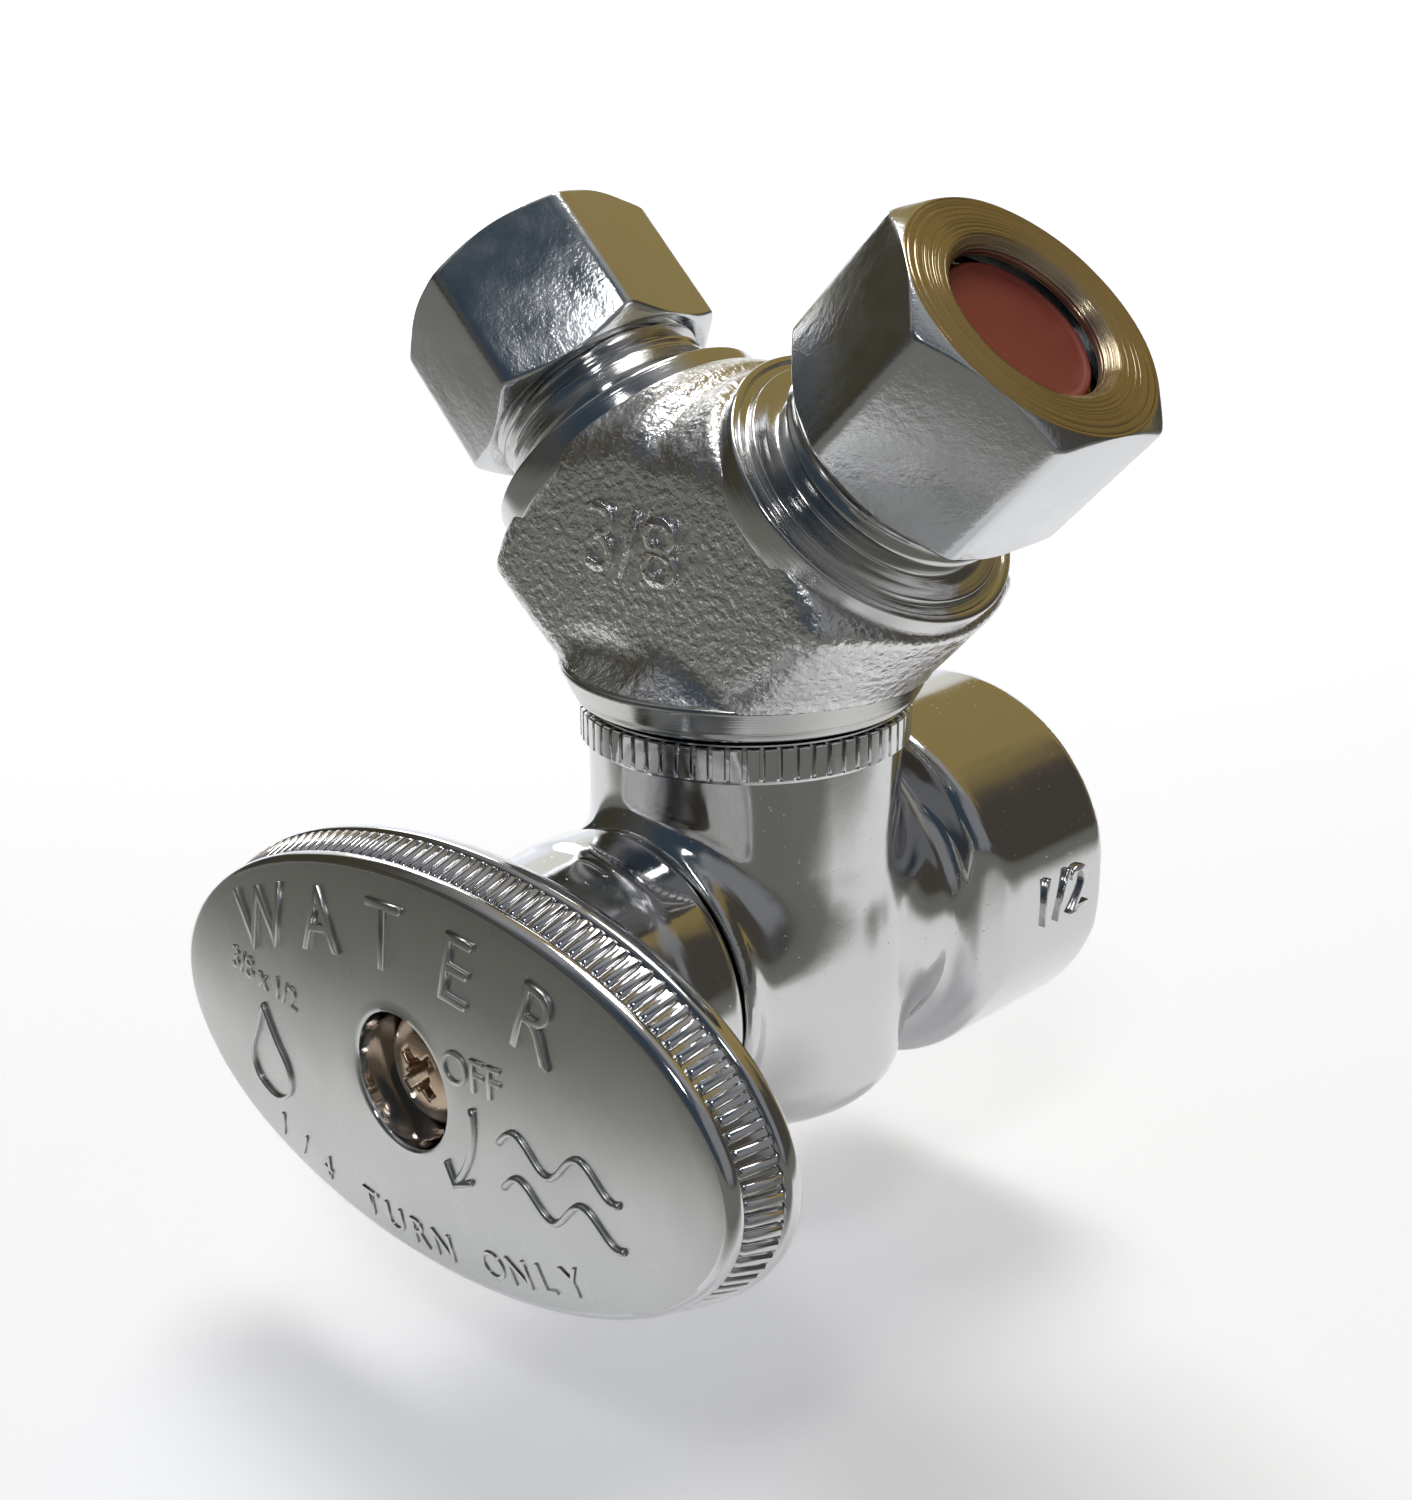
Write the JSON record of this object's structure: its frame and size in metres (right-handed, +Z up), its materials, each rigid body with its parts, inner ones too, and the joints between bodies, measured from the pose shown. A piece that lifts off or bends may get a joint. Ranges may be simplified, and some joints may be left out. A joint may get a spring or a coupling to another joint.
{
  "type": "dual outlet angle stop valve",
  "caption": "Chrome quarter-turn angle stop: threaded wall inlet, oval handle, and a V branch with compression nuts for thin supply tubes.",
  "frame": {"origin": "centre of the inlet mouth, in the plane of its end face", "axes": "+Y out of the inlet mouth towards the wall pipe, +Z up along the barrel, +X towards the right-hand outlet seen from the handle"},
  "size_m": [0.0505, 0.0506, 0.0583],
  "materials": {
    "polished_chrome": "polished chrome plate over cast brass, faintly wavy",
    "satin_chrome_forging": "chrome plate over a shot-blasted brass forging, pebbly satin",
    "nut_chrome": "bright chrome plate, turned face and orange-peel flats",
    "satin_chrome_handle": "satin chrome plate over die-cast zinc, polished edges",
    "plain_brass": "turned",
    "ball_chrome": "mirror polished",
    "white_ptfe": "waxy",
    "black_rubber": "matt",
    "bright_screw_steel": "plated steel",
    "red_polythene": "soft moulded plastic"
  },
  "bodies": {
    "valve": {"valve_body": "polished_chrome", "branch_fitting": "satin_chrome_forging", "branch_seal": "black_rubber", "lower_seat": "white_ptfe", "upper_seat": "white_ptfe"},
    "shutoff": {"handle": "satin_chrome_handle", "handle_screw": "bright_screw_steel", "stem": "plain_brass", "ball": "ball_chrome", "stem_thrust_washer": "white_ptfe", "stem_o_ring_inner": "black_rubber", "stem_o_ring_outer": "black_rubber"},
    "right_sleeve": {"right_ferrule": "plain_brass"},
    "right_nut": {"right_compression_nut": "nut_chrome"},
    "right_plug": {"right_dust_plug": "red_polythene"},
    "left_sleeve": {"left_ferrule": "plain_brass"},
    "left_nut": {"left_compression_nut": "nut_chrome"},
    "left_plug": {"left_dust_plug": "red_polythene"}
  },
  "joints": [
    {"name": "handle_turn", "type": "hinge", "parent": "valve", "child": "shutoff", "pos_m": [0, -0.0228, 0], "axis": [0, 1, 0], "range_deg": [0, 90]},
    {"name": "right_nut_advance", "type": "slide", "parent": "valve", "child": "right_sleeve", "axis": [0.7071, 0, 0.7071], "range_m": [0, 0.0064]},
    {"name": "right_nut_turn", "type": "hinge", "parent": "right_sleeve", "child": "right_nut", "pos_m": [0, -0.0228, 0.02032], "axis": [0.7071, 0, 0.7071], "range_deg": [0, 2160]},
    {"name": "right_plug_pull", "type": "slide", "parent": "right_sleeve", "child": "right_plug", "axis": [0.7071, 0, 0.7071], "range_m": [0, 0.0105]},
    {"name": "left_nut_advance", "type": "slide", "parent": "valve", "child": "left_sleeve", "axis": [-0.7071, 0, 0.7071], "range_m": [0, 0.0064]},
    {"name": "left_nut_turn", "type": "hinge", "parent": "left_sleeve", "child": "left_nut", "pos_m": [0, -0.0228, 0.02032], "axis": [-0.7071, 0, 0.7071], "range_deg": [0, 2160]},
    {"name": "left_plug_pull", "type": "slide", "parent": "left_sleeve", "child": "left_plug", "axis": [-0.7071, 0, 0.7071], "range_m": [0, 0.0105]}
  ],
  "couplings": [
    {"joint": "right_nut_advance", "follows": "right_nut_turn", "m_per_rad": 0.00016843},
    {"joint": "left_nut_advance", "follows": "left_nut_turn", "m_per_rad": 0.00016843}
  ]
}
